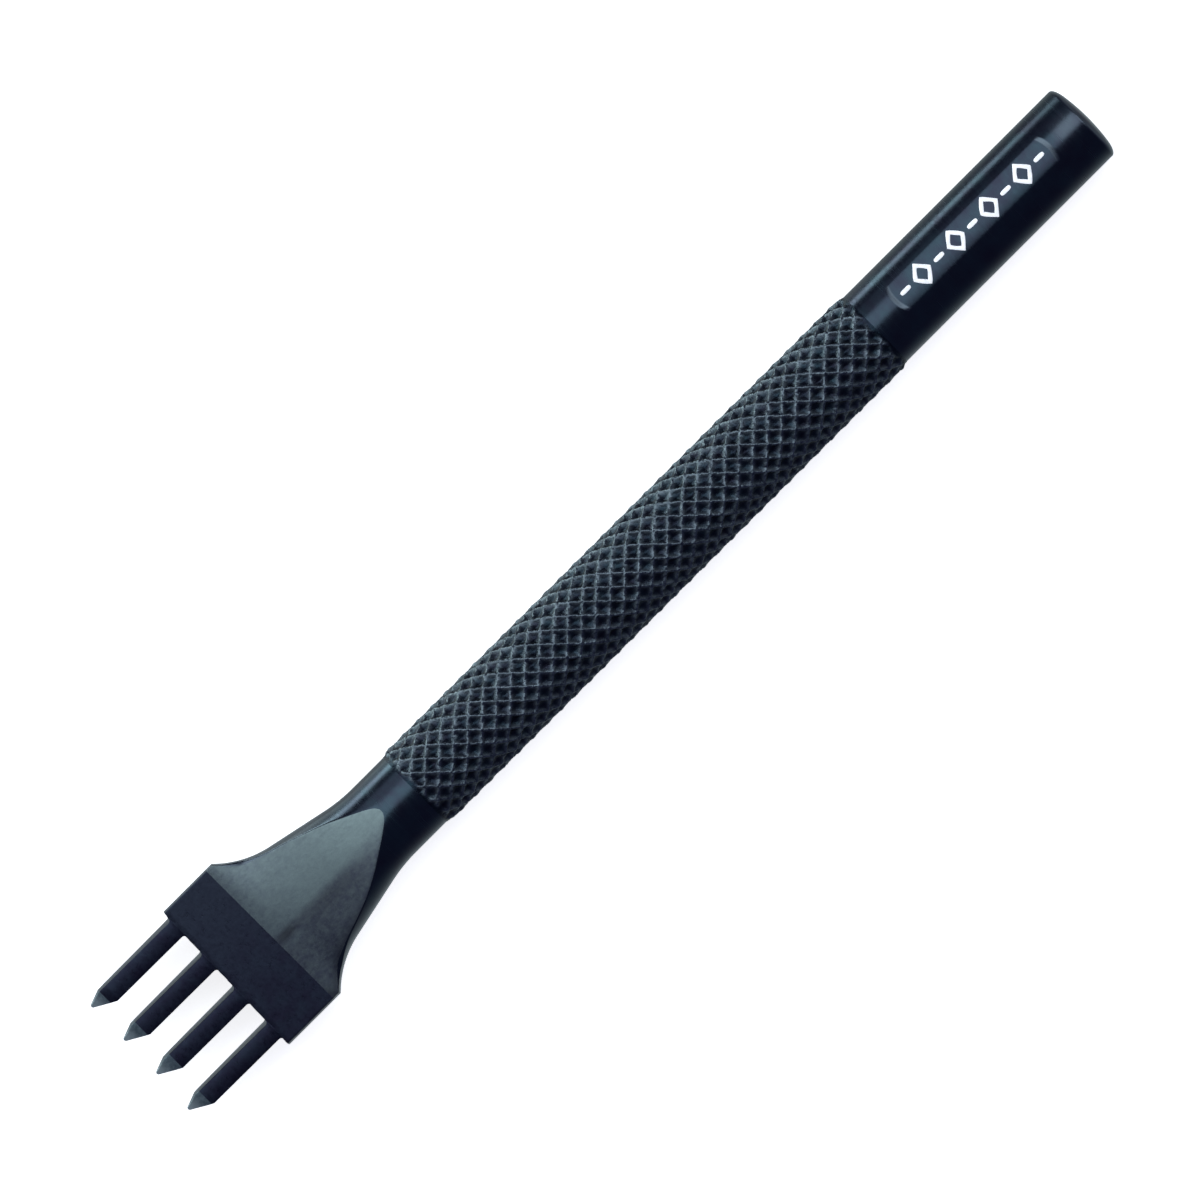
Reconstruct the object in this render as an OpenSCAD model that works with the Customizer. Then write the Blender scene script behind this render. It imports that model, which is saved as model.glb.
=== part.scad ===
// Pricking iron: a one-handed striking tool that marks or pierces a row of slanted stitch holes.
// It lies on a bench along X: points towards -X, struck end towards +X, front face up.
// The origin is at the bench, under the middle of the tool.

/* [Whole tool] */
// Length from the prong points to the struck end
tool_len = 114; // [100:1:140]
// Diameter of the plain round steel, at the neck and at the shank
shank_d = 7.7; // [7.2:0.1:8.4]

/* [Prongs] */
// Distance from one prong to the next, which is the stitch length
prong_pitch = 4; // [3.4:0.1:5]
// Width of one prong, across its front face
prong_w = 1.6; // [1.2:0.1:1.8]
// How far a prong's back face stands to one side of its front face
prong_lean = 0.35; // [0:0.05:0.6]
// Free length of a prong, from its point to the end of the slots
prong_len = 10.2; // [7:0.1:14]
// Thickness of a prong just behind its point
prong_end_t = 2.4; // [1.8:0.1:2.8]
// Radius in the corners at the ends of the slots
slot_corner_r = 0.3; // [0.1:0.05:0.4]

/* [Prong points] */
// Length of the slope ground on the front and on the back of a point
facet_len = 1.7; // [1.2:0.1:2]
// Length of the steeper flank, on the side that the apex is nearer to
near_flank_len = 1.35; // [0.8:0.05:1.8]
// Length of the longer flank, which is also the length of a point
far_flank_len = 2; // [1.8:0.1:3]
// Width and thickness of the blunt apex
apex_w = 0.3; // [0.1:0.05:0.5]
// How far the apex stands off the middle of the prong
apex_offset = 0.27; // [0:0.01:0.4]

/* [Head] */
// Steel left beyond each outer prong
shoulder_w = 0.825; // [0.4:0.025:1.5]
// Thickness of the milled block that the prongs are cut from
block_t = 3.2; // [3:0.1:4]
// Length of the milled block, from the slots to the start of the sloping faces
block_len = 5.3; // [4:0.1:9]
// Length of full turned diameter left behind the block
rim_len = 0.7; // [0.3:0.1:1.5]
// Radius of the hollow curve behind the rim
flare_r = 9; // [7:0.5:12]
// Slope of the straight taper, from the tool's axis
taper_a = 12; // [10:1:14]
// Radius that blends the taper into the neck
neck_blend_r = 14.4; // [10:0.1:20]
// Slope of the flat faces that run from the block up to the neck
face_slope_a = 9; // [8.6:0.1:9.6]
// Distance from the points to the start of the full round neck
neck_start = 29.2; // [28.8:0.1:29.4]

/* [Grip] */
// Distance from the points to the start of the knurled grip
grip_start = 33.3; // [32:0.1:40]
// Length of the knurled grip
grip_len = 54.6; // [40:0.1:58]
// Diameter over the crests of the knurl
grip_d = 8.2; // [7.9:0.1:9]
// Number of rows of diamonds round the grip
knurl_rows = 30; // [24:2:36]

/* [Shank] */
// Chamfer round the struck end
end_chamfer = 0.6; // [0.2:0.05:1.2]
// Distance from the grip to the marked flat
flat_gap = 3.1; // [1:0.1:6]
// Length of the marked flat
flat_len = 19; // [17:0.5:20]
// Width of the marked flat
flat_w = 2.8; // [2.4:0.1:3.4]
// Radius of the curve at each end of the marked flat
flat_end_r = 3; // [2:0.1:5]
// How far the marked flat is turned round the shank
flat_turn_a = 8; // [0:1:20]

/* [Pitch mark] */
// Depth of the filled mark
mark_depth = 0.12; // [0.05:0.01:0.2]
// Width of the mark's lines
mark_line = 0.4; // [0.3:0.05:0.6]
// Width of one diamond in the mark
mark_diamond_w = 2.1; // [1.6:0.1:2.4]
// Height of one diamond in the mark
mark_diamond_h = 2.5; // [2:0.1:2.6]

/* [Hidden] */
$fn = 96;
prong_count = 4;
shank_r = shank_d / 2;
grip_r = grip_d / 2;
axis_h = grip_r * cos(180 / knurl_rows);  // the tool rests on two rows of its knurl
row_half = (prong_count - 1) / 2 * prong_pitch;
prong_span = prong_w + prong_lean;     // width of a leaning prong seen from the front
head_r = row_half + prong_span / 2 + shoulder_w;
lean_a = atan(prong_lean / block_t);
block_end = prong_len + block_len;
rim_end = block_end + rim_len;
// The flat faces run out where their slope reaches the neck's surface
faces_end = block_end + (shank_r - block_t / 2) / tan(face_slope_a);
// Where the straight taper meets the blend into the neck
blend_x = neck_start - neck_blend_r * sin(taper_a);
blend_r = shank_r + neck_blend_r * (1 - cos(taper_a));
// Height of the rim's corner over the line of the taper, and the run of the hollow curve
rim_rise = (head_r - blend_r) * cos(taper_a) - (blend_x - rim_end) * sin(taper_a);
hollow_run = sqrt(2 * flare_r * rim_rise - pow(rim_rise, 2));
hollow_x = rim_end - rim_rise * sin(taper_a) + hollow_run * cos(taper_a);
hollow_r = blend_r + (blend_x - hollow_x) * tan(taper_a);
grip_end = grip_start + grip_len;
flat_start = grip_end + flat_gap;
flat_h = sqrt(pow(shank_r, 2) - pow(flat_w / 2, 2));  // height of the flat over the axis
mark_mid = flat_start + flat_len / 2;
steel_blue_black = "#1b1e2c";
milled_black = "#222433";
forged_slate = "#56696c";
point_slate = "#4a5568";
knurl_grey = "#3a424c";
enamel_white = "#f2f2ee";
far = 40;                              // larger than the head in every direction

// Moves shapes drawn from the points (x = 0) and the axis (z = 0) into the tool's place
module on_bench() {
    translate([-tool_len / 2, 0, axis_h]) children();
}

// Lays a shape that stands on the XY plane along the tool, with its own X across the tool
module along() {
    rotate([90, 0, 90]) children();
}

// Turns a profile of (radius, distance from the points) about the tool's axis
module turned() {
    along() rotate_extrude() children();
}

// Extrudes an outline of (distance from the points, height) across the tool
module across(width) {
    rotate([90, 0, 0]) linear_extrude(width, center = true) children();
}

// One prong seen from the front, with its point and the rounded corners at its root
module prong_plan() {
    half = prong_w / 2;
    root_half = half + slot_corner_r;
    root_x = prong_len - slot_corner_r;
    difference() {
        polygon([[0, apex_offset - apex_w / 2], [0, apex_offset + apex_w / 2],
                 [near_flank_len, half], [root_x, half], [root_x, root_half],
                 [prong_len, root_half], [prong_len, -root_half],
                 [root_x, -root_half], [root_x, -half], [far_flank_len, -half]]);
        for (side = [-1, 1]) translate([root_x, side * root_half]) circle(slot_corner_r);
    }
}

// The thickness of a prong: a slope at the point, then a slight taper up to the block
module prong_side() {
    upper = [[0, apex_w / 2], [facet_len, prong_end_t / 2], [prong_len, block_t / 2]];
    lower = [for (i = [len(upper) - 1 : -1 : 0]) [upper[i][0], -upper[i][1]]];
    polygon(concat(upper, lower));
}

// A leaning prong between two distances from its point; number 1 is at the +Y side
module prong_part(number, from, to) {
    y = row_half - (number - 1) * prong_pitch;
    on_bench() translate([0, y, 0]) intersection() {
        rotate([lean_a, 0, 0]) linear_extrude(2 * block_t, center = true) intersection() {
            prong_plan();
            translate([from, -prong_pitch / 2]) square([to - from, prong_pitch]);
        }
        across(prong_pitch) prong_side();
    }
}

module prong_point(number) {
    color(point_slate) prong_part(number, 0, far_flank_len);
}

module prong(number) {
    color(milled_black) prong_part(number, far_flank_len, prong_len);
}

// Solid block with round turned edges and two milled faces
module prong_block() {
    color(milled_black) on_bench() intersection() {
        translate([prong_len, 0, 0]) along() cylinder(r = head_r, h = block_len);
        translate([prong_len, -far / 2, -block_t / 2]) cube([block_len, far, block_t]);
    }
}

// Turned profile of the head: rim, hollow curve, straight taper, blend, neck
module flare_profile() {
    difference() {
        polygon([[0, block_end], [head_r, block_end], [head_r, rim_end],
                 [hollow_r, hollow_x], [blend_r, blend_x], [shank_r, neck_start],
                 [shank_r, faces_end], [0, faces_end]]);
        translate([hollow_r + flare_r * cos(taper_a), hollow_x + flare_r * sin(taper_a)])
            circle(flare_r, $fn = 180);
        translate([shank_r + neck_blend_r, neck_start]) circle(neck_blend_r, $fn = 180);
    }
}

// The flare is a trumpet shape cut by a sloping flat face on the front and on the back
module flared_head() {
    color(forged_slate) on_bench() intersection() {
        turned() flare_profile();
        across(far) polygon([[block_end, block_t / 2], [faces_end, shank_r],
                             [faces_end, -shank_r], [block_end, -block_t / 2]]);
    }
}

module neck() {
    color(steel_blue_black) on_bench() translate([faces_end, 0, 0])
        along() cylinder(r = shank_r, h = grip_start - faces_end);
}

// The knurl is drawn as the solid that joins its rows of crests
module knurled_grip() {
    color(knurl_grey) on_bench() translate([grip_start, 0, 0]) along() linear_extrude(grip_len)
        polygon([for (row = [0 : knurl_rows - 1]) let (a = 90 + (row + 0.5) * 360 / knurl_rows)
            grip_r * [cos(a), sin(a)]]);
}

// Puts the shapes of the marked flat on its surface
module on_flat() {
    on_bench() rotate([-flat_turn_a, 0, 0]) translate([mark_mid, 0, flat_h]) children();
}

// Cutter for the marked flat, with curved ends
module flat_cutter() {
    reach = flat_len / 2 - flat_end_r;
    on_flat() {
        translate([-reach, -flat_end_r, 0]) cube([2 * reach, 2 * flat_end_r, shank_r]);
        for (end = [-1, 1]) translate([end * reach, 0, 0]) cylinder(r = flat_end_r, h = shank_r);
    }
}

module diamond(w, h) {
    polygon([[w / 2, 0], [0, h / 2], [-w / 2, 0], [0, -h / 2]]);
}

// A stitch line in plan: one hollow diamond for each prong, at the real pitch, with the
// thread between them and a short tail at each end
module mark_plan() {
    inner = 1 - 2 * mark_line * sqrt(1 / pow(mark_diamond_w, 2) + 1 / pow(mark_diamond_h, 2));
    thread = prong_pitch - mark_diamond_w - 2 * mark_line;
    for (i = [0 : prong_count - 1]) translate([i * prong_pitch - row_half, 0]) difference() {
        diamond(mark_diamond_w, mark_diamond_h);
        diamond(mark_diamond_w * inner, mark_diamond_h * inner);
    }
    for (i = [0 : prong_count])
        translate([(i - 0.5) * prong_pitch - row_half, 0])
            square([thread, mark_line], center = true);
}

module pitch_mark() {
    color(enamel_white) on_flat() translate([0, 0, -mark_depth])
        linear_extrude(mark_depth) mark_plan();
}

// Plain round shank with a chamfered struck end, the marked flat and the mark's grooves
module struck_shank() {
    color(steel_blue_black) difference() {
        on_bench() turned()
            polygon([[0, grip_end], [shank_r, grip_end], [shank_r, tool_len - end_chamfer],
                     [shank_r - end_chamfer, tool_len], [0, tool_len]]);
        flat_cutter();
        on_flat() translate([0, 0, -mark_depth]) linear_extrude(2 * mark_depth) mark_plan();
    }
}

prong_point(1);  // prong_point_1
prong_point(2);  // prong_point_2
prong_point(3);  // prong_point_3
prong_point(4);  // prong_point_4
prong(1);  // prong_1
prong(2);  // prong_2
prong(3);  // prong_3
prong(4);  // prong_4
prong_block();
flared_head();
neck();
knurled_grip();
struck_shank();
pitch_mark();
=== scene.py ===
import math

import bpy
import numpy as np
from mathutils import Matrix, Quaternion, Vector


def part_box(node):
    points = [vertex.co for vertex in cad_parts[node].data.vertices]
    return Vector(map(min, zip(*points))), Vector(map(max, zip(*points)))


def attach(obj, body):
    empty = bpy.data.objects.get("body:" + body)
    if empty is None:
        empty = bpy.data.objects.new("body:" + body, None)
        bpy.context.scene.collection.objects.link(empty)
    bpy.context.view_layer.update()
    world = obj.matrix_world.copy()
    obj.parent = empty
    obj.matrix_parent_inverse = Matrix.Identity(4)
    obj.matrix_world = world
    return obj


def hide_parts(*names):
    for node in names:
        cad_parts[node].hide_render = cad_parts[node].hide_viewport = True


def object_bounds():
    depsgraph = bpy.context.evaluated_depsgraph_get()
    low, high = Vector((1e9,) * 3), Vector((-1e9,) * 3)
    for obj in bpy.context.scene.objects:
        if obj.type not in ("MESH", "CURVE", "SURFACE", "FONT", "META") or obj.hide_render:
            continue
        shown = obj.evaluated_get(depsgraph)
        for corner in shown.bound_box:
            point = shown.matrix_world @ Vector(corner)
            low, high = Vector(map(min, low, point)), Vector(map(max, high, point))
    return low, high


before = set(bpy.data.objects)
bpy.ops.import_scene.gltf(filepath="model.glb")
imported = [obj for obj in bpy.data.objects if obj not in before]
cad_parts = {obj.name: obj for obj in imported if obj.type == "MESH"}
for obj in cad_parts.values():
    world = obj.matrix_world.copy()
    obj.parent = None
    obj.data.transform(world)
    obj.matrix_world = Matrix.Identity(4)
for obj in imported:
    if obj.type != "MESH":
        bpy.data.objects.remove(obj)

cadLow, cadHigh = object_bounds()  # the CAD box

# Lengths below are in millimetres. "Along" is the distance from the prong points towards the struck end,
# "across" is row Y and "up" is height over the bar's axis; every angle round the bar starts at the top
# and grows towards +Y.
mm = 0.001
pointEnd = cadLow.x
shankLow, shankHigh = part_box("struck_shank")
axisHeight = (shankLow.z + shankHigh.z) / 2
barRadius = (shankHigh.y - shankLow.y) / 2 / mm
degree = math.pi / 180


def span(node):
    # first and last distance along the tool of one CAD node
    low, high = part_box(node)
    return (low.x - pointEnd) / mm, (high.x - pointEnd) / mm


def linear(hexColour):
    # sRGB hex to linear: c / 12.92 up to 0.04045, else ((c + 0.055) / 1.055) ^ 2.4
    parts = [int(hexColour[i:i + 2], 16) / 255 for i in (0, 2, 4)]
    return [c / 12.92 if c <= 0.04045 else ((c + 0.055) / 1.055) ** 2.4 for c in parts] + [1.0]


def addNode(tree, kind, settings, links):
    # adds a node; a lower-case key is a node setting, any other key is an input's name or number
    node = tree.nodes.new(kind)
    for key, value in settings.items():
        if isinstance(key, str) and key[0].islower():
            setattr(node, key, value)
        else:
            node.inputs[key].default_value = value
    for key, output in links.items():
        tree.links.new(output, node.inputs[key])
    return node


def smoothStep(value, start, end):
    # 0 before start, 1 after end, 3t^2 - 2t^3 between
    t = np.clip((value - start) / (end - start), 0, 1)
    return t * t * (3 - 2 * t)


def softMin(first, second, rounding):
    # the smaller of two radii with the corner between them rounded: -e ln(exp(-a/e) + exp(-b/e))
    return -rounding * np.logaddexp(-first / rounding, -second / rounding)


def denseEnds(count):
    # count places from 0 up to 1, closer together at both ends: (1 - cos(pi t)) / 2
    return (1 - np.cos(np.pi * np.arange(count) / count)) / 2


def barPoints(along, across, up):
    # millimetres round the bar to metres in the row frame
    shape = np.broadcast(along, across, up).shape
    points = np.empty(shape + (3,))
    points[..., 0] = pointEnd + np.broadcast_to(along, shape) * mm
    points[..., 1] = np.broadcast_to(across, shape) * mm
    points[..., 2] = axisHeight + np.broadcast_to(up, shape) * mm
    return points


def tubeQuads(rows, columns, wrapRows):
    # faces of a grid that is closed round its columns, and round its rows too when wrapRows is true
    r = np.arange(rows if wrapRows else rows - 1)[:, None]
    c = np.arange(columns)[None, :]
    following, beside = (r + 1) % rows, (c + 1) % columns
    here, there = r * columns, following * columns
    corners = np.broadcast_arrays(here + c, there + c, there + beside, here + beside)
    return np.stack(corners, -1).reshape(-1, 4)


def closedLoft(rings, wrapRows=False):
    # skin through rings of points (rows, columns, 3); its two ends are closed by fans to their middles
    rows, columns = rings.shape[:2]
    points = rings.reshape(-1, 3)
    quads = tubeQuads(rows, columns, wrapRows)
    if wrapRows:
        return points, quads, np.zeros((0, 3), int)
    middles = np.stack([rings[0].mean(0), rings[-1].mean(0)])
    c = np.arange(columns)
    beside = (c + 1) % columns
    first = rows * columns
    last = (rows - 1) * columns
    startFan = np.stack([np.full(columns, first), c, beside], -1)
    endFan = np.stack([np.full(columns, first + 1), last + beside, last + c], -1)
    return np.concatenate([points, middles]), quads, np.concatenate([startFan, endFan])


def joinParts(parts):
    # several skins as one mesh
    points, quads, tris, count = [], [], [], 0
    for partPoints, partQuads, partTris in parts:
        points.append(partPoints)
        quads.append(partQuads + count)
        tris.append(partTris + count)
        count += len(partPoints)
    return np.concatenate(points), np.concatenate(quads), np.concatenate(tris)


def makePiece(name, skin, finishes, nodes, sharpAngle=50, quadFinish=None, wearAndSheen=None, stainAndShade=None):
    # One closed mesh. Edges that turn more than sharpAngle stay crisp, the rest is shaded smooth. Closing
    # triangles take the last finish; the wear layer (real wear and painted highlights) and the stain layer
    # (real stains and painted shade) are shares per point, which the finishes read.
    points, quads, tris = skin
    mesh = bpy.data.meshes.new(name)
    mesh.vertices.add(len(points))
    mesh.vertices.foreach_set("co", points.astype(np.float32).ravel())
    corners = np.concatenate([quads.ravel(), tris.ravel()]).astype(np.int32)
    starts = np.concatenate([np.arange(len(quads)) * 4, len(quads) * 4 + np.arange(len(tris)) * 3])
    mesh.loops.add(len(corners))
    mesh.loops.foreach_set("vertex_index", corners)
    mesh.polygons.add(len(starts))
    mesh.polygons.foreach_set("loop_start", starts.astype(np.int32))
    mesh.update(calc_edges=True)
    mesh.validate()
    mesh.polygons.foreach_set("use_smooth", np.ones(len(starts), bool))
    mesh.set_sharp_from_angle(angle=sharpAngle * degree)
    for finish in finishes:
        mesh.materials.append(finish)
    for layer, values in (("wearAndSheen", wearAndSheen), ("stainAndShade", stainAndShade)):
        if values is not None:
            spread = np.zeros(len(points), np.float32)
            spread[:values.size] = values.ravel()
            mesh.attributes.new(layer, "FLOAT", "POINT").data.foreach_set("value", spread)
    if quadFinish is not None:
        chosen = np.append(quadFinish, np.full(len(tris), len(finishes) - 1))
        mesh.polygons.foreach_set("material_index", chosen.astype(np.int32))
    piece = bpy.data.objects.new(name, mesh)
    bpy.context.scene.collection.objects.link(piece)
    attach(piece, "root")
    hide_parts(*nodes)


# ---- camera, light, floor

viewSettings = {
    "distance": 1100,  # lens to the bar's axis
    "width": 102.3,  # seen at the height of the axis
    "sideways": (-1.477, 0.271),  # of the lens from the row's middle, along and across
    "turn": -45,
}


def makeCamera():
    data = bpy.data.cameras.new("benchCamera")
    data.sensor_width = 36
    data.lens = data.sensor_width * viewSettings["distance"] / viewSettings["width"]
    camera = bpy.data.objects.new("benchCamera", data)
    along, across = viewSettings["sideways"]
    camera.location = (along * mm, across * mm, axisHeight + viewSettings["distance"] * mm)
    camera.rotation_euler = (0, 0, viewSettings["turn"] * degree)
    bpy.context.scene.collection.objects.link(camera)
    bpy.context.scene.camera = camera


# Each lamp stands square to the bar: lean is the angle from straight up towards +Y, spread is the angle
# it fills seen from the bar, shift and length run along the tool, spin turns it in its own plane. Angles
# are in degrees and lengths in metres; the two low lamps stand below the floor, which lets their light by.
lamps = {
    "overheadBox": {
        "lean": 25, "spread": 34, "distance": 0.8,
        "shift": -0.1, "length": 1.5, "spin": -22,
        "glow": 2.4, "tint": "f0faff",
    },
    "sideBox": {
        "lean": 57, "spread": 28, "distance": 0.8,
        "shift": -0.56, "length": 1.2, "spin": 0,
        "glow": 1.2, "tint": "f0faff",
    },
    "lowStrip": {
        "lean": 100, "spread": 15, "distance": 0.35,
        "shift": -0.265, "length": 0.67, "spin": 0,
        "glow": 6.6, "tint": "f0fffb",
    },
    "lowFill": {
        "lean": 122, "spread": 28, "distance": 0.35,
        "shift": -0.28, "length": 0.64, "spin": 0,
        "glow": 1.0, "tint": "f0fffb",
    },
}


def makeLamp(name, lamp):
    # glow is the lamp's radiance: power = glow * pi * area
    data = bpy.data.lights.new(name, "AREA")
    data.shape = "RECTANGLE"
    data.size = lamp["length"]
    data.size_y = 2 * lamp["distance"] * math.tan(lamp["spread"] / 2 * degree)
    data.energy = lamp["glow"] * math.pi * data.size * data.size_y
    data.color = linear(lamp["tint"])[:3]
    lean = lamp["lean"] * degree
    light = bpy.data.objects.new(name, data)
    light.location = (
        lamp["shift"],
        lamp["distance"] * math.sin(lean),
        axisHeight + lamp["distance"] * math.cos(lean),
    )
    light.rotation_mode = "QUATERNION"
    light.rotation_quaternion = Quaternion((1, 0, 0), -lean) @ Quaternion((0, 0, 1), lamp["spin"] * degree)
    light.visible_camera = False
    bpy.context.scene.collection.objects.link(light)


# Light from all round, by direction: z is up, x runs along the bar.
room = {
    "above": (0.10, 0.105, 0.20, 1),  # dim blue studio dark over the table
    "below": (0.36, 0.42, 0.45, 1),  # pale light that comes up from the table
    "paleUpTo": -0.9,  # z of the direction where the pale light starts to fade
    "dimFrom": 0.0,
    "ends": (0.5, 0.53, 0.6, 1),  # pale cloth at both ends of the bar, which shapes it when seen from a side
    "clothStart": 0.55,  # size of x where the cloth starts to show
    "clothFull": 0.8,
}


def makeRoom():
    world = bpy.data.worlds.new("studioRoom")
    bpy.context.scene.world = world
    world.use_nodes = True
    tree = world.node_tree
    tree.nodes.clear()
    place = addNode(tree, "ShaderNodeTexCoord", {}, {})
    split = addNode(tree, "ShaderNodeSeparateXYZ", {}, {0: place.outputs["Generated"]})
    fade = addNode(
        tree,
        "ShaderNodeMapRange",
        {"interpolation_type": "SMOOTHSTEP", "From Min": room["paleUpTo"], "From Max": room["dimFrom"]},
        {"Value": split.outputs["Z"]},
    )
    mix = addNode(
        tree, "ShaderNodeMix", {"data_type": "RGBA", 6: room["below"], 7: room["above"]}, {0: fade.outputs[0]}
    )
    endOn = addNode(tree, "ShaderNodeMath", {"operation": "ABSOLUTE"}, {0: split.outputs["X"]})
    cloth = addNode(
        tree,
        "ShaderNodeMapRange",
        {"interpolation_type": "SMOOTHSTEP", "From Min": room["clothStart"], "From Max": room["clothFull"]},
        {"Value": endOn.outputs[0]},
    )
    lined = addNode(
        tree,
        "ShaderNodeMix",
        {"data_type": "RGBA", 7: room["ends"]},
        {0: cloth.outputs[0], 6: mix.outputs[2]},
    )
    shade = addNode(tree, "ShaderNodeBackground", {}, {"Color": lined.outputs[2]})
    addNode(tree, "ShaderNodeOutputWorld", {}, {"Surface": shade.outputs[0]})


paper = {
    "tone": "f2f2f2",
    "roughness": 0.9,
    "glow": 0.8,  # leaves only a faint shadow round the tool
    "half": 10.0,  # half width in metres, far past the view
}


def makeFloor():
    # white paper under the tool, which glows a little of its own
    material = bpy.data.materials.new("whitePaper")
    material.use_nodes = True
    tree = material.node_tree
    shader = tree.nodes["Principled BSDF"]
    shader.inputs["Base Color"].default_value = linear(paper["tone"])
    shader.inputs["Roughness"].default_value = paper["roughness"]
    shader.inputs["Emission Color"].default_value = linear("ffffff")
    shader.inputs["Emission Strength"].default_value = paper["glow"]
    half = paper["half"]
    corners = [(-half, -half, 0), (half, -half, 0), (half, half, 0), (-half, half, 0)]
    mesh = bpy.data.meshes.new("paperFloor")
    mesh.from_pydata(corners, [], [(0, 1, 2, 3)])
    mesh.materials.append(material)
    floor = bpy.data.objects.new("paperFloor", mesh)
    floor.visible_glossy = False  # the steel mirrors the lamps and the room, not the paper
    floor.visible_shadow = False
    bpy.context.scene.collection.objects.link(floor)


makeCamera()
for lampName, lampValues in lamps.items():
    makeLamp(lampName, lampValues)
makeRoom()
makeFloor()
bpy.context.scene.view_settings.view_transform = "Standard"
print("camera, lamps and floor set")

# ---- finishes


def blackenedSteel(name, look):
    # Black-oxide steel, after turning, milling, grinding or knurling: a dark blue-grey skin that still
    # mirrors like metal. Cloudy patches shift the tone, fine cutter lines roughen it, and the piece's own
    # wear layer shows paler rubbed steel and painted highlights, its stain layer browner smears and painted
    # shade. Sizes in look are in millimetres.
    material = bpy.data.materials.new(name)
    material.use_nodes = True
    tree = material.node_tree
    shader = tree.nodes["Principled BSDF"]
    shader.inputs["Metallic"].default_value = 1.0
    place = addNode(tree, "ShaderNodeTexCoord", {}, {})
    clouds = addNode(
        tree,
        "ShaderNodeTexNoise",
        {"Scale": 1 / (look["cloudSize"] * mm), "Detail": 4.0, "Roughness": 0.6},
        {"Vector": place.outputs["Object"]},
    )
    cloudFade = addNode(
        tree, "ShaderNodeMapRange", {"From Min": 0.35, "From Max": 0.65}, {"Value": clouds.outputs[0]}
    )
    tone = addNode(
        tree,
        "ShaderNodeMix",
        {"data_type": "RGBA", 6: linear(look["darkTone"]), 7: linear(look["lightTone"])},
        {0: cloudFade.outputs[0]},
    )
    patchy = addNode(
        tree,
        "ShaderNodeMapRange",
        {"From Min": 0.35, "From Max": 0.6, "To Min": 0.85, "To Max": 1.0},
        {"Value": clouds.outputs[0]},
    )
    skin = tone
    for layer in ("wearAndSheen", "stainAndShade"):
        if layer in look:
            amount = addNode(tree, "ShaderNodeAttribute", {"attribute_name": layer}, {})
            share = addNode(
                tree,
                "ShaderNodeMath",
                {"operation": "MULTIPLY"},
                {0: amount.outputs["Fac"], 1: patchy.outputs[0]},
            )
            skin = addNode(
                tree,
                "ShaderNodeMix",
                {"data_type": "RGBA", 7: linear(look[layer])},
                {0: share.outputs[0], 6: skin.outputs[2]},
            )
    tree.links.new(skin.outputs[2], shader.inputs["Base Color"])
    stretch = addNode(
        tree,
        "ShaderNodeMapping",
        {"Scale": [1 / (size * mm) for size in look["grainSize"]]},
        {"Vector": place.outputs["Object"]},
    )
    grain = addNode(
        tree,
        "ShaderNodeTexNoise",
        {"Scale": 1.0, "Detail": 3.0, "Roughness": 0.6},
        {"Vector": stretch.outputs[0]},
    )
    gloss = addNode(
        tree,
        "ShaderNodeMapRange",
        {"From Min": 0.3, "From Max": 0.7, "To Min": look["roughness"][0], "To Max": look["roughness"][1]},
        {"Value": grain.outputs[0]},
    )
    tree.links.new(gloss.outputs[0], shader.inputs["Roughness"])
    relief = addNode(
        tree,
        "ShaderNodeBump",
        {"Strength": 1.0, "Distance": look["relief"] * mm},
        {"Height": grain.outputs[0]},
    )
    tree.links.new(relief.outputs[0], shader.inputs["Normal"])
    return material


turnedSteel = blackenedSteel("turnedBlackOxideSteel", {
    "darkTone": "2d303b",
    "lightTone": "2f3b43",
    # the paler tone is used only as painted highlight, on the shank and on the head's +Y side
    "wearAndSheen": "4e565d",
    "cloudSize": 2.2,
    "grainSize": (0.25, 6, 6),  # turning lines round the bar, drawn coarser than the real 0.05 mm feed
    "roughness": (0.2, 0.28),
    "relief": 0.002,
})
milledSteel = blackenedSteel("milledBlackOxideSteel", {
    "darkTone": "222230",
    "lightTone": "262b37",
    "wearAndSheen": "2d323d",  # painted light: coloured paler towards +Y, the side the lamps light
    "cloudSize": 1.2,
    "grainSize": (0.3, 0.5, 0.4),  # overlapping cutter marks
    "roughness": (0.26, 0.4),
    "relief": 0.008,
})
groundFace = blackenedSteel("groundBlackOxideSteel", {
    "darkTone": "434851",
    "lightTone": "51595c",
    # paler tone for the painted reflection on the front flat's +Y part, and for the pale streak
    "wearAndSheen": "637070",
    # darker tone for the two smears, and for painted shade on the -Y rim
    "stainAndShade": "2b2c30",
    "cloudSize": 0.6,
    "grainSize": (0.5, 0.25, 0.4),  # a coarse 80 grit belt, drawn at twice its scratch width
    "roughness": (0.34, 0.46),
    "relief": 0.007,
})
groundPoints = blackenedSteel("groundPointSteel", {
    "darkTone": "434f57",
    "lightTone": "58656d",
    "wearAndSheen": "838f94",
    "cloudSize": 0.35,
    "grainSize": (0.6, 0.08, 0.3),  # scratches across the facet
    "roughness": (0.3, 0.42),
    "relief": 0.004,
})
knurledSteel = blackenedSteel("knurledBlackOxideSteel", {
    "darkTone": "1a1b26",
    "lightTone": "1d2931",
    "wearAndSheen": "656f76",  # the ridges are rubbed paler than the pits
    "cloudSize": 1.1,
    "grainSize": (0.16, 0.16, 0.16),
    "roughness": (0.22, 0.4),
    "relief": 0.03,
})


enamel = {
    "thinTone": "dfe4e6",
    "fullTone": "ffffff",
    "patchSize": 0.35,  # of the thin places, in millimetres
    "roughness": 0.35,
    "glow": 0.25,  # stands in for light that scatters inside the thick white fill
}


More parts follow.
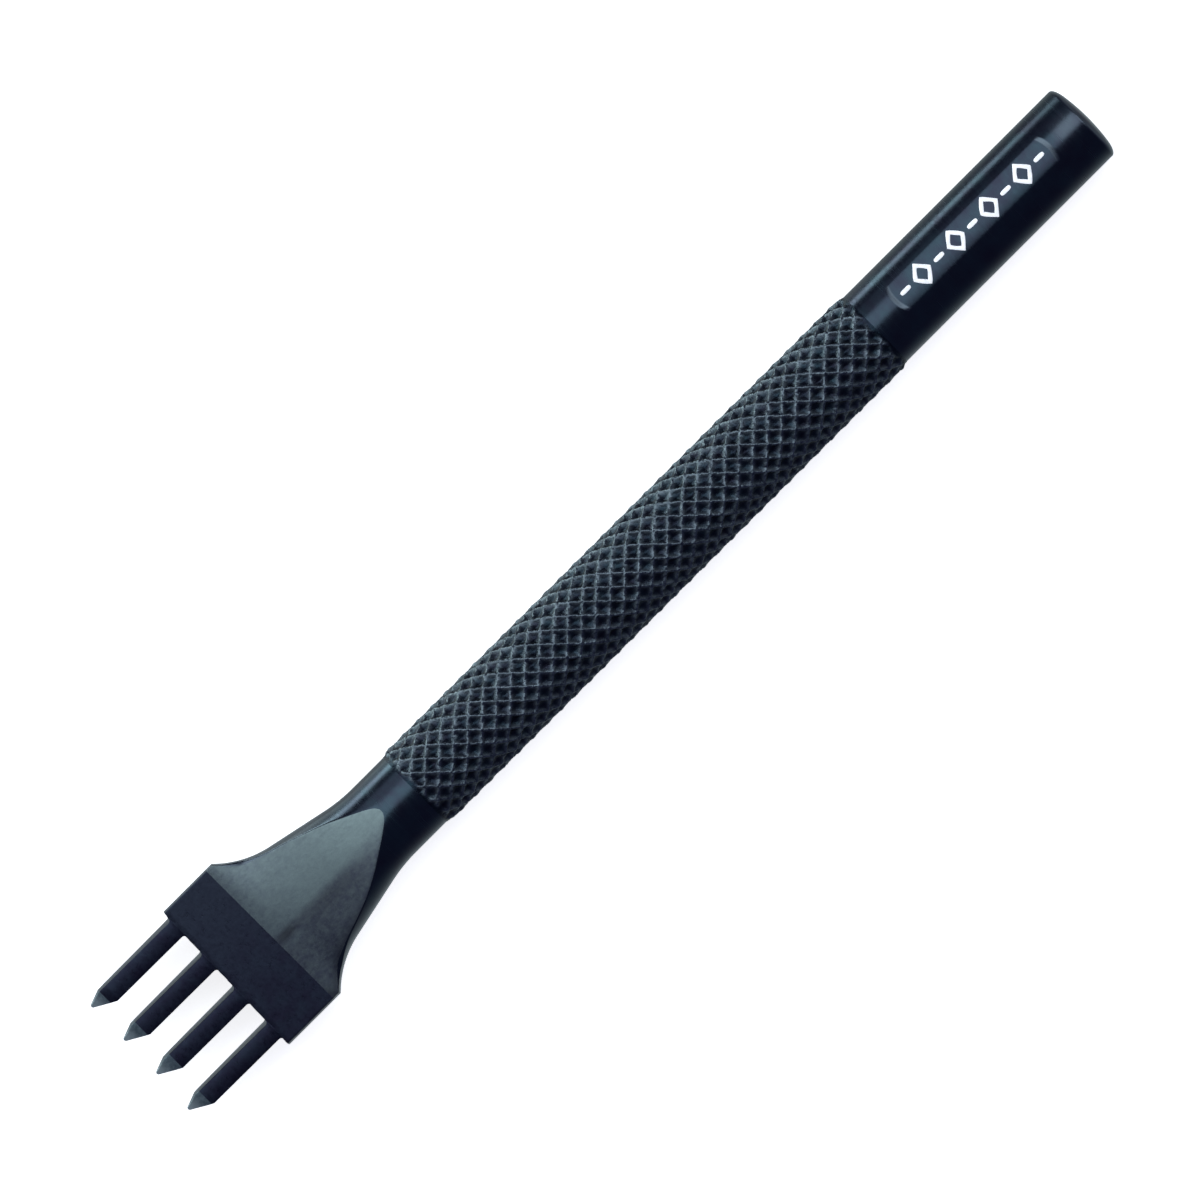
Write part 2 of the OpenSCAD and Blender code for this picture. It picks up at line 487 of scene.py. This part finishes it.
def makeEnamel():
    # white stoving enamel filled by brush: soft gloss, faint grey where it lies thin
    material = bpy.data.materials.new("whiteFillEnamel")
    material.use_nodes = True
    tree = material.node_tree
    shader = tree.nodes["Principled BSDF"]
    shader.inputs["IOR"].default_value = 1.5
    place = addNode(tree, "ShaderNodeTexCoord", {}, {})
    thin = addNode(
        tree,
        "ShaderNodeTexNoise",
        {"Scale": 1 / (enamel["patchSize"] * mm), "Detail": 3.0},
        {"Vector": place.outputs["Object"]},
    )
    fade = addNode(
        tree,
        "ShaderNodeMapRange",
        {"From Min": 0.3, "From Max": 0.55},
        {"Value": thin.outputs[0]},
    )
    tone = addNode(
        tree,
        "ShaderNodeMix",
        {"data_type": "RGBA", 6: linear(enamel["thinTone"]), 7: linear(enamel["fullTone"])},
        {0: fade.outputs[0]},
    )
    tree.links.new(tone.outputs[2], shader.inputs["Base Color"])
    shader.inputs["Roughness"].default_value = enamel["roughness"]
    shader.inputs["Emission Color"].default_value = linear("ffffff")
    shader.inputs["Emission Strength"].default_value = enamel["glow"]
    return material


whiteEnamel = makeEnamel()
print("finishes made")

# ---- prongs and their points

rootLine, crease = span("prong_block")
prongs = {
    "middles": (6.13, 2.15, -1.84, -5.86),  # a little uneven, as hand-ground prongs are
    "halfWidth": 0.83,
    "lean": 6.24,  # of the side walls, the back standing towards +Y
    "lateStart": (0.34, 0.30, 0.25, 0.0),  # how far each point stops short of the longest
    "facetLength": (1.45, 1.8, 1.97, 1.8),
    "tipSide": 0.27,  # of the tip from the middle, towards +Y
    "tipWidth": 0.3,
    "nearFlank": 1.35,  # length of the +Y flank
    "farFlank": 2.0,
    "thickness": ((0, 0.10), (0.08, 0.2), (1.7, 1.2), (10.2, 1.6)),  # half thickness along the prong
    "edge": 0.07,
    "fillet": 0.3,  # radius at the root, on both sides
    "rootShift": 0.2,  # of the root line, towards the block
    "rootSkew": 0.38,  # the root line stands this much nearer the points at the -Y side
    "overlap": 0.3,  # of a prong into the block
    "paleLength": (0.2, 1.5),  # the ground tip is palest before the first, and plain after the second
}


def rootAt(across):
    # place of the root line, which runs a little askew
    fromLeft = (cadHigh.y / mm - across) / ((cadHigh.y - cadLow.y) / mm)
    return rootLine + prongs["rootShift"] - prongs["rootSkew"] * fromLeft


def prongRings(along, index):
    # Rounded four-sided sections: the half width follows the two flanks, the half height the ground
    # taper, and every point shifts across by -up * tan(lean). Inside the block the prong thins a little,
    # so that it stays under the block's skin.
    late = prongs["lateStart"][index]
    middle = prongs["middles"][index]
    half = prongs["halfWidth"]
    reach = along - late
    tip, tipHalf = prongs["tipSide"], prongs["tipWidth"] / 2
    left = np.interp(reach, (0, 0.06, prongs["nearFlank"]), (tip + 0.05, tip + tipHalf, half))
    right = np.interp(reach, (0, 0.06, prongs["farFlank"]), (tip - 0.05, tip - tipHalf, -half))
    fillet = prongs["fillet"]
    intoRoot = np.clip(along - (rootAt(middle) - fillet), 0, fillet)
    flare = fillet - np.sqrt(fillet ** 2 - intoRoot ** 2)
    left, right = left + flare, right - flare
    distances, halves = zip(*prongs["thickness"])
    high = np.interp(reach, distances, halves)
    sunkFrom, sunkTo = rootAt(middle) + 0.02, rootAt(middle) + prongs["overlap"]
    high = np.minimum(high, np.interp(along, (sunkFrom, sunkTo), (1.6, 1.5)))
    wide = (left - right) / 2
    edge = np.minimum(prongs["edge"], 0.4 * np.minimum(wide, high))
    arc = np.linspace(0, 90, 5)
    turn = np.concatenate([arc + quarter for quarter in (0, 90, 180, 270)]) * degree
    sideSign = np.sign(np.sin(turn.reshape(4, 5).mean(1))).repeat(5)
    topSign = np.sign(np.cos(turn.reshape(4, 5).mean(1))).repeat(5)
    across = sideSign * (wide - edge)[:, None] + edge[:, None] * np.sin(turn)
    up = topSign * (high - edge)[:, None] + edge[:, None] * np.cos(turn)
    across = across + (middle + (left + right) / 2)[:, None] - up * math.tan(prongs["lean"] * degree)
    return barPoints(along[:, None], across, up)


def makeProng(index):
    late = prongs["lateStart"][index]
    facetEnd = late + prongs["facetLength"][index]
    root = rootAt(prongs["middles"][index])
    fillet = prongs["fillet"]
    tipStations = late + np.array([0, 0.03, 0.06, 0.08, 0.3, 0.7, 1.0, 1.2, 1.35])
    tipStations = np.append(tipStations[tipStations < facetEnd - 0.02], facetEnd)
    tipRings = prongRings(tipStations, index)
    palerTip = 1 - smoothStep(tipStations - late, *prongs["paleLength"])
    makePiece(
        f"groundPoint_{index + 1}",
        closedLoft(tipRings),
        [groundPoints],
        [f"prong_point_{index + 1}"],
        wearAndSheen=np.repeat(palerTip, tipRings.shape[1]),
    )
    barStations = np.concatenate([
        [facetEnd],
        np.linspace(late + prongs["farFlank"], root - fillet, 30),
        root - fillet + fillet * np.sin(np.linspace(0.15, 1, 9) * math.pi / 2),
        [root + 0.02, root + prongs["overlap"]],
    ])
    makePiece(
        f"prongBar_{index + 1}",
        closedLoft(prongRings(barStations, index)),
        [milledSteel],
        [f"prong_{index + 1}"],
    )


for prongIndex in range(4):
    makeProng(prongIndex)
print("prongs made")

# ---- block, flared head and neck: one bar cut by flats

head = {
    "halfBlock": 1.6,  # half thickness of the block
    "faceSlope": 9,  # of the flat faces, in degrees
    "crown": 0.008,  # the front face falls crown * v^2 away from its middle line
    "rounding": 0.035,  # of the edge between flat and round
    "twist": ((15.5, 0), (17.5, 1.8), (20.5, 3.6), (23.6, 4.4), (26.9, 8), (29.5, 11), (34, 11)),
    "discRadius": 7.8,
    "discEnd": 16.2,
    "hollow": (22.591, 14.133, 9.0),  # middle and radius of the hollow arc behind the disc
    "taperStart": 20.72,
    "blendStart": 26.206,
    "blend": (29.2, 14.4),  # place and radius of the arc that runs into the neck
}
neckStart = span("neck")[0]
gripStart = span("neck")[1] - 0.35  # the rolled pattern starts a little before its own stretch


def flareRadius(along):
    # turned outline: disc, hollow arc, straight taper, then an arc into the neck
    middle, rise, hollowRadius = head["hollow"]
    hollow = rise - np.sqrt(np.clip(hollowRadius ** 2 - (along - middle) ** 2, 0, None))
    blendEnd, blendRadius = head["blend"]
    blend = barRadius + blendRadius - np.sqrt(np.clip(blendRadius ** 2 - (blendEnd - along) ** 2, 0, None))
    atTaper = rise - math.sqrt(hollowRadius ** 2 - (head["taperStart"] - middle) ** 2)
    atBlend = barRadius + blendRadius - math.sqrt(blendRadius ** 2 - (blendEnd - head["blendStart"]) ** 2)
    share = (along - head["taperStart"]) / (head["blendStart"] - head["taperStart"])
    taper = atTaper + (atBlend - atTaper) * share
    return np.select(
        [along < head["discEnd"], along < head["taperStart"], along < head["blendStart"], along < blendEnd],
        [head["discRadius"], hollow, taper, blend],
        barRadius,
    )


faceColumns, sideColumns = 64, 30  # mesh columns on each flat and on each round side
outOfReach = 99  # stands for a flat that a direction never meets


def cutBarRings(along, radius, frontHeight, backHeight, twist, crown):
    # Round sections cut by a flat in front, turned by twist, and one behind:
    # r = softMin(R, (t - crown v^2) / cos(angle)). Points crowd towards the four corners.
    radius, front, back = radius[:, None], frontHeight[:, None], backHeight[:, None]
    twist = twist[:, None] * degree
    least = 3 * degree  # keeps a few narrow columns where a flat has run out
    frontHalf = np.arccos(np.clip(front / radius, -1, 1))
    for settling in range(6):
        fallen = front - crown * (radius * np.sin(frontHalf)) ** 2
        frontHalf = np.arccos(np.clip(fallen / radius, -1, 1))
    frontHalf = np.maximum(frontHalf, least)
    backHalf = np.maximum(np.arccos(np.clip(back / radius, -1, 1)), least)
    face = 2 * denseEnds(faceColumns) - 1
    side = denseEnds(sideColumns)
    frontAngle = np.arctan(face * np.tan(frontHalf))
    leftAngle = frontHalf + twist + side * (math.pi - backHalf - frontHalf - twist)
    backAngle = math.pi + np.arctan(face * np.tan(backHalf))
    rightAngle = math.pi + backHalf + side * (math.pi - backHalf - frontHalf + twist)
    angle = np.concatenate([frontAngle + twist, leftAngle, backAngle, rightAngle], 1)
    fromFront = np.clip(np.cos(angle - twist), 0.02, 1)
    sideways = front * np.tan(np.arccos(fromFront))
    fallen = front - crown * np.minimum(sideways, head["discRadius"] + 0.2) ** 2
    frontReach = np.where(np.cos(angle - twist) > 0.02, fallen / fromFront, outOfReach)
    backReach = np.where(np.cos(angle) < -0.02, back / np.clip(-np.cos(angle), 0.02, 1), outOfReach)
    reach = softMin(softMin(radius, frontReach, head["rounding"]), backReach, head["rounding"])
    return reach * np.sin(angle), reach * np.cos(angle)


def headRings(along):
    height = head["halfBlock"] + (along - crease) * math.tan(head["faceSlope"] * degree)
    distances, twists = zip(*head["twist"])
    twist = np.interp(along, distances, twists)
    fade = head["crown"] * smoothStep(along, crease, crease + 3)[:, None]
    return cutBarRings(along, flareRadius(along), height, height, twist, fade)


def makeBlock():
    # the section at the crease, drawn out to the root line, which is left a little ragged by the milling
    creaseAcross, creaseUp = headRings(np.array([crease]))
    share = np.array([0, 0.003, 0.008, 0.015, 0.1, 0.3, 0.5, 0.8, 1])[:, None]
    inset = np.array([0.09, 0.04, 0.012, 0, 0, 0, 0, 0, 0])[:, None]
    across = creaseAcross - np.sign(creaseAcross) * inset
    up = creaseUp - np.sign(creaseUp) * inset * 0.9
    ragged = 0.018 * np.sin(creaseAcross * 5.1) + 0.012 * np.sin(creaseAcross * 11.7 + 1)
    start = rootAt(creaseAcross) + ragged
    makePiece(
        "prongBlock",
        closedLoft(barPoints(start + (crease - start) * share, across, up)),
        [milledSteel],
        ["prong_block"],
        # painted light: the block is coloured paler towards +Y, the side the lamps light
        wearAndSheen=smoothStep(across, -7, 8),
    )


headSpots = {
    "streak": {"place": (16.9, -1.75), "size": (1.0, 0.25), "strength": 0.5},  # pale, beside the smear
    "smear": {"place": (16.6, -0.95), "size": (1.1, 0.33), "strength": 0.85},  # dark, near the crease
    "patch": {"place": (21.5, -1.3), "size": (2.6, 0.8), "strength": 0.35},  # faint brown
}


def spot(along, across, name):
    # soft spot of wear or stain: strength * exp(-(da / length)^2 - (dv / width)^2)
    (middle, side), (length, width) = headSpots[name]["place"], headSpots[name]["size"]
    away = ((along - middle) / length) ** 2 + ((across - side) / width) ** 2
    return headSpots[name]["strength"] * np.exp(-away)


def headTones(along, across):
    # wear, stain and painted light of the front flat: its +Y part is painted paler, a painted reflection of
    # the lamps on that side, up to a soft line beside the middle
    onFront = np.arange(across.shape[1]) <= faceColumns
    stops = (crease, 24, 29)
    paleStart = np.interp(along, stops, (-0.75, -0.9, -2.2))
    paleEnd = np.interp(along, stops, (-0.3, -0.1, 0.6))
    wearAndSheen = np.clip((across - paleStart) / (paleEnd - paleStart), 0, 1)
    wearAndSheen = wearAndSheen * np.interp(along, (crease, 20, 26), (0.55, 0.8, 1.0)) * onFront
    wearAndSheen = wearAndSheen * (1 - 0.35 * smoothStep(across, 1.5, 6))
    wearAndSheen = np.clip(wearAndSheen + spot(along, across, "streak") * onFront, 0, 1)
    # the round side towards +Y gets a painted highlight too, less so near the neck
    sideSheen = np.interp(along, (crease, 23, 27.5), (0.9, 0.9, 0))
    wearAndSheen = np.where((across > 0) & ~onFront, sideSheen, wearAndSheen)
    # the stain is the two darker spots, plus painted shade on the rim at the -Y side, away from the lamps
    rim = 0.5 * smoothStep(-across, flareRadius(along) - 1.6, flareRadius(along) - 0.4)
    stainAndShade = np.clip(spot(along, across, "smear") + spot(along, across, "patch") + rim, 0, 1) * onFront
    return wearAndSheen, stainAndShade


def makeHead():
    # the two flats are ground, the round sides between them keep the turned finish
    stations = np.concatenate([
        np.linspace(crease, 17, 16)[:-1],
        np.linspace(17, 27, 70)[:-1],
        np.linspace(27, neckStart, 36),
    ])
    across, up = headRings(stations)
    wearAndSheen, stainAndShade = headTones(np.broadcast_to(stations[:, None], across.shape), across)
    columnFinish = np.repeat([0, 1, 0, 1], [faceColumns, sideColumns, faceColumns, sideColumns])
    makePiece(
        "flaredHead",
        closedLoft(barPoints(stations[:, None], across, up)),
        [groundFace, turnedSteel],
        ["flared_head"],
        quadFinish=np.tile(columnFinish, len(stations) - 1),
        wearAndSheen=wearAndSheen,
        stainAndShade=stainAndShade,
    )


def makeNeck():
    nearHead = np.linspace(neckStart, neckStart + 1, 8)[:-1]
    stations = np.concatenate([nearHead, np.linspace(neckStart + 1, gripStart, 6)])
    across, up = headRings(stations)
    makePiece(
        "turnedNeck",
        closedLoft(barPoints(stations[:, None], across, up)),
        [turnedSteel],
        ["neck"],
    )


makeBlock()
makeHead()
makeNeck()
print("head made")

# ---- knurled grip

gripEnd = span("knurled_grip")[1] + 0.5  # the rolled pattern ends a little past its own stretch
knurl = {
    "starts": 15,  # ridges of each hand round the bar
    "rowOffset": 6,  # the first row of crossings stands this far from the top, in degrees
    "crestRadius": 4.09,  # at a crossing
    "sag": 0.035,  # of a ridge between two crossings
    "nickDepth": 0.09,  # of the nicks across the ridges
    "pitDepth": 0.36,
    "ridgeWidth": 0.17,
    "flatShare": 0.35,  # of the depth that is gone beside a ridge; the rest falls evenly to the middle
    "depthSpread": 0.2,  # pits differ in depth by up to this share
    "weakRidge": (0.09, 0.2),  # most drop of a ridge of the second hand, and half its width
    "crowding": 0.45,  # how far the mesh is drawn in towards the ridges
    "cells": 10,  # mesh steps from one ridge to the next
    "blankRadius": 3.88,  # of the bar before it is rolled
    "runOut": 0.3,  # length over which the relief fades at each end
}


def makeGrip():
    # Net of rolled ridges on a cylinder. Its two crossing helices are counted by first and second, which
    # are whole numbers on a ridge. The radius is crest - sag * sin^2 - nicks
    # - depth * (1 - exp(-(d / width)^2)) * (share + (1 - share) * 2 d), where d is the distance to the
    # nearest ridge. The sines below have no common period, so that no two cells come out alike.
    cells, starts = knurl["cells"], knurl["starts"]
    period = 2 * math.pi * knurl["crestRadius"] / starts
    rows = round((gripEnd - gripStart) / (period / (2 * cells))) + 1
    period = (gripEnd - gripStart) / (rows - 1) * 2 * cells
    columns = starts * cells
    row = np.arange(rows)[:, None]
    column = 2 * np.arange(columns)[None, :] + row % 2
    # each helix count is drawn in towards whole numbers: t - crowding * sin(2 pi t) / (2 pi)
    calm = knurl["crowding"] * smoothStep(np.minimum(row, rows - 1 - row), 1, 8) / (2 * math.pi)
    first, second = (row + column) / (2 * cells), (row - column) / (2 * cells)
    first = first - calm * np.sin(2 * math.pi * first)
    second = second - calm * np.sin(2 * math.pi * second)
    along = gripStart + (first + second) / 2 * period
    angle = ((first - second) * 180 / starts + knurl["rowOffset"]) * degree
    p, q = first - np.round(first), second - np.round(second)
    pitch = period * math.sqrt(0.5)
    nearest = np.minimum(np.abs(p), np.abs(q))
    beside = 1 - np.exp(-(nearest * pitch / knurl["ridgeWidth"]) ** 2)
    uneven = 1 + knurl["depthSpread"] * np.sin(np.floor(first) * 12.9 + np.floor(second) * 7.7)
    # the second roller pressed less evenly, so on some lines its ridges stand lower
    weak = np.sin(np.round(first) * 2.4 + 1) * np.sin(np.round(second) * 1.3 + 0.5)
    drop, halfWidth = knurl["weakRidge"]
    lowRidge = drop * (1 + weak) * np.exp(-(q * pitch / halfWidth) ** 2) * np.sin(math.pi * p) ** 2
    # nicks that the rollers left across the ridges, at no fixed spacing
    nick = np.sin(14.3 * first + 5.1 * np.sin(1.7 * second))
    nick = nick * np.sin(15.1 * second + 4.3 * np.sin(1.3 * first))
    nick = knurl["nickDepth"] * smoothStep(nick, 0.05, 0.8) * (1 - 0.7 * beside)
    sag = knurl["sag"] * np.maximum(np.sin(math.pi * p) ** 2, np.sin(math.pi * q) ** 2)
    inPit = beside * (knurl["flatShare"] + (1 - knurl["flatShare"]) * np.minimum(2 * nearest, 1))
    radius = knurl["crestRadius"] - sag - nick - lowRidge - knurl["pitDepth"] * uneven * inPit
    ragged = 0.12 * (1 + np.sin(7 * angle + 1)) + 0.06 * (1 + np.sin(15 * angle))
    fade = smoothStep(along - gripStart, ragged, ragged + knurl["runOut"])
    fade = fade * smoothStep(gripEnd - along, ragged, ragged + knurl["runOut"])
    rubbed = (1 - inPit) ** 2.2 * (0.8 + 0.2 * np.sin(first * 2.3 + 1) * np.sin(second * 1.7)) * fade
    rubbed = rubbed * (1 - 0.6 * nick / knurl["nickDepth"])
    radius = knurl["blankRadius"] + fade * (radius - knurl["blankRadius"])
    points = barPoints(along, radius * np.sin(angle), radius * np.cos(angle)).reshape(-1, 3)

    def at(r, c):
        # number of the lattice point in row r at column c
        return r * columns + ((c - r % 2) // 2) % columns

    # each face is the small diamond round a lattice gap: back, right, front, left of it
    gapRow = np.arange(1, rows - 1)[:, None]
    gapColumn = 2 * np.arange(columns)[None, :] + (gapRow + 1) % 2
    quads = np.stack([
        at(gapRow - 1, gapColumn),
        at(gapRow, gapColumn - 1),
        at(gapRow + 1, gapColumn),
        at(gapRow, gapColumn + 1),
    ], -1).reshape(-1, 4)
    # a row of triangles squares off each end, and a fan closes it
    edge = 2 * np.arange(columns)
    startEdge = np.stack([at(0, edge), at(1, edge + 1), at(0, edge + 2)], -1)
    lastRow = rows - 1
    endGap = edge + (lastRow + 1) % 2
    endEdge = np.stack([at(lastRow, endGap + 1), at(lastRow - 1, endGap), at(lastRow, endGap - 1)], -1)
    middles = np.stack([points[:columns].mean(0), points[-columns:].mean(0)])
    startMiddle = len(points)
    rim = np.arange(columns)
    nextOnRim = (rim + 1) % columns
    lastRim = lastRow * columns
    startFan = np.stack([np.full(columns, startMiddle), rim, nextOnRim], -1)
    endFan = np.stack([np.full(columns, startMiddle + 1), lastRim + nextOnRim, lastRim + rim], -1)
    tris = np.concatenate([startEdge, endEdge, startFan, endFan])
    return (np.concatenate([points, middles]), quads, tris), rubbed


gripSkin, gripWear = makeGrip()
makePiece(
    "knurledGrip",
    gripSkin,
    [knurledSteel],
    ["knurled_grip"],
    sharpAngle=80,
    wearAndSheen=gripWear,
)
print("grip made")

# ---- struck shank with its marked flat

shankEnd = span("struck_shank")[1]
markLow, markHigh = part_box("pitch_mark")
markMiddle = (markLow.x + markHigh.x) / 2 / mm - pointEnd / mm
panel = {
    "halfLength": 9.5,
    "turn": 8,  # of the flat towards +Y
    "halfAngle": 21.4,  # from its middle to where it meets the round, seen from the axis
    "height": 3.70,  # of the flat over the axis
    "crown": 0.058,  # the flat falls crown * v^2 to its sides
    "endRadius": 3,  # of the curved ends
    "endReach": 1.6,  # half width over which the ends curve
    "calm": 3,  # this far from an end, the mesh is straight across again
    "ramp": 0.5,  # length over which each end runs out
    "rounding": 0.012,
}
striking = {
    "edgeStart": 0.8,  # the rounded edge starts this far from the end
    "edgeFall": 1.25,  # and takes this much off the radius
    "sweep": 72,  # where the rounded edge meets the face, in degrees from its start
    "dome": 0.18,  # rise of the struck face
}
# painted highlights on the shank: where the lamps glint on the flat's run-outs, on a patch and at the struck
# edge
shankPaintedHighlights = {
    "runOuts": 0.9,
    "patch": 0.55,
    "patchPlace": (112.05, 14),  # along the bar, and round it in degrees
    "patchSize": (1.25, 15),
    "edge": 0.9,
    "edgePlace": 0.68,  # this far from the end
    "edgeWidth": 0.16,
}


def makeShank():
    # r = softMin(R, flat / cos(angle - turn)) within the panel, whose ends are arcs; stations near an
    # end are shifted along by the arc, radius - sqrt(radius^2 - v^2), so that the wall follows it.
    # The bar starts a little inside the grip, so that no gap shows where the rolled pattern runs out.
    edge = striking["edgeStart"]
    panelStart, panelEnd = markMiddle - panel["halfLength"], markMiddle + panel["halfLength"]
    crowded = np.array([-0.4, -0.1, -0.03, 0, 0.1, 0.2, 0.3, 0.4, 0.5, 0.55, 0.7, 1.2])
    sideStations = np.concatenate([
        np.linspace(gripEnd - 0.2, panelStart - 1, 5),
        panelStart + crowded,
        np.linspace(markMiddle - 7, markMiddle + 7, 9),
        panelEnd - crowded[::-1],
        np.linspace(panelEnd + 0.7, shankEnd - edge - 0.03, 16),
    ])
    turn = panel["turn"] * degree
    half = panel["halfAngle"] * degree
    face = 2 * denseEnds(40) - 1
    side = denseEnds(90)
    angle = np.concatenate([np.arctan(face * math.tan(half)), half + side * (2 * math.pi - 2 * half)]) + turn
    facing = np.cos(angle - turn)  # 1 in the middle of the flat, below 0 at the back
    sideways = np.sin(angle - turn) * barRadius
    crowned = panel["height"] - panel["crown"] * np.clip(sideways, -2, 2) ** 2
    flat = np.where(facing > 0.5, crowned / np.clip(facing, 0.5, 1), outOfReach)
    endReach = panel["endReach"]
    across = np.where(facing > 0, np.clip(sideways, -endReach, endReach), endReach)
    arc = panel["endRadius"] - np.sqrt(panel["endRadius"] ** 2 - across ** 2)
    offset = sideStations - markMiddle
    fromEnd = np.abs(np.abs(offset) - panel["halfLength"])
    lead = np.clip(1 - fromEnd / panel["calm"], 0, 1) * -np.sign(offset)
    along = sideStations[:, None] + lead[:, None] * arc
    inside = np.clip((panel["halfLength"] - np.abs(offset)) / panel["ramp"], 0, 1)[:, None]
    cut = softMin(np.full_like(flat, barRadius), flat, panel["rounding"])
    radius = barRadius + inside * (cut - barRadius)
    sideRings = barPoints(along, radius * np.sin(angle), radius * np.cos(angle))
    # struck end: a rounded edge, then a shallow dome to the middle
    sweep = np.linspace(0, striking["sweep"], 10) * degree
    fall = striking["edgeFall"]
    rimAlong = shankEnd - edge + (edge - striking["dome"]) * np.sin(sweep) / math.sin(sweep[-1])
    rimRadius = barRadius - fall * (1 - np.cos(sweep)) / (1 - math.cos(sweep[-1]))
    share = np.array([0.97, 0.9, 0.78, 0.6, 0.4, 0.2, 0.05])
    domeAlong = shankEnd - striking["dome"] * share ** 2
    endAlong = np.concatenate([rimAlong, domeAlong])[:, None]
    endRadius = np.concatenate([rimRadius, rimRadius[-1] * share])[:, None]
    endRings = barPoints(endAlong, endRadius * np.sin(angle), endRadius * np.cos(angle))
    # painted highlights, paler where the lamps glint: on the run-outs of the flat, on a patch beyond it and
    # round the struck edge
    onFlat = smoothStep(facing, math.cos(half) - 0.01, math.cos(half) + 0.01)
    runOut = (inside > 0) & (inside < 1)
    (place, bearing), (length, opening) = shankPaintedHighlights["patchPlace"], shankPaintedHighlights["patchSize"]
    away = ((along - place) / length) ** 4 + ((angle / degree - bearing) / opening) ** 4
    sideSheen = np.maximum(shankPaintedHighlights["runOuts"] * runOut * onFlat, shankPaintedHighlights["patch"] * np.exp(-away))
    fromEdge = (endAlong - (shankEnd - shankPaintedHighlights["edgePlace"])) / shankPaintedHighlights["edgeWidth"]
    rimSheen = shankPaintedHighlights["edge"] * np.exp(-fromEdge ** 2)
    wearAndSheen = np.concatenate([sideSheen, np.broadcast_to(rimSheen, (len(endAlong), len(angle)))])
    return closedLoft(np.concatenate([sideRings, endRings])), wearAndSheen


# the shank's colour layer holds only painted highlights
shankSkin, shankSheen = makeShank()
makePiece(
    "struckShank",
    shankSkin,
    [turnedSteel],
    ["struck_shank"],
    wearAndSheen=shankSheen,
)
print("shank made")

# ---- stitch-pitch mark: hollow diamonds joined by dashes, filled with white enamel

mark = {
    "pitch": 4,
    "diamond": (0.79, 0.94),  # half length and half height to the middle of the line
    "line": 0.27,  # half the line's width as a share of the diamond
    "dash": (0.55, 0.2),  # half length and half width
    "crown": 0.035,  # the fill stands this proud of the flat
    "depth": 0.05,
}


def flatPoints(along, across, up):
    # a place on the marked flat to the row frame, turned about the axis by the flat's own angle
    turn = panel["turn"] * degree
    height = panel["height"] - panel["crown"] * across ** 2 + up
    return barPoints(
        markMiddle + along,
        across * math.cos(turn) + height * math.sin(turn),
        height * math.cos(turn) - across * math.sin(turn),
    )


def makeDiamond(middle):
    # a closed line of even width: the rhombus |x|^1.1 + |y|^1.1 = 1, scaled by 1 + line * cos(s)
    t = (np.arange(96) / 96 * 2 * math.pi)[:, None]
    s = (-np.arange(12) / 12 * 2 * math.pi)[None, :]
    power = 2 / 1.1
    scale = 1 + (mark["line"] + 0.02 * np.sin(5 * t + middle)) * np.cos(s)
    length, height = mark["diamond"]
    along = middle + length * np.sign(np.cos(t)) * np.abs(np.cos(t)) ** power * scale
    across = height * np.sign(np.sin(t)) * np.abs(np.sin(t)) ** power * scale
    up = np.where(np.sin(s) < 0, -np.sin(s) * mark["crown"], -np.sin(s) * mark["depth"]) + 0 * t
    return closedLoft(flatPoints(along, across, up), wrapRows=True)


def makeDash(middle):
    # a pillow: rounded oblong outlines that shrink to the middle of its top and its underside
    t = (np.arange(48) / 48 * 2 * math.pi)[None, :]
    s = (np.linspace(-80, 80, 13) * degree)[:, None]
    length, width = mark["dash"]
    along = middle + length * np.sign(np.cos(t)) * np.abs(np.cos(t)) ** 0.6 * np.cos(s) ** 0.4
    across = width * np.sign(np.sin(t)) * np.abs(np.sin(t)) ** 0.6 * np.cos(s) ** 0.4
    up = np.where(s > 0, np.sin(s) * mark["crown"], np.sin(s) * mark["depth"]) + 0 * t
    return closedLoft(flatPoints(along, across, up))


marks = [makeDiamond((i - 1.5) * mark["pitch"]) for i in range(4)]
marks += [makeDash((i - 2) * mark["pitch"]) for i in range(5)]
makePiece("enamelPitchMark", joinParts(marks), [whiteEnamel], ["pitch_mark"], sharpAngle=80)
print("mark made")
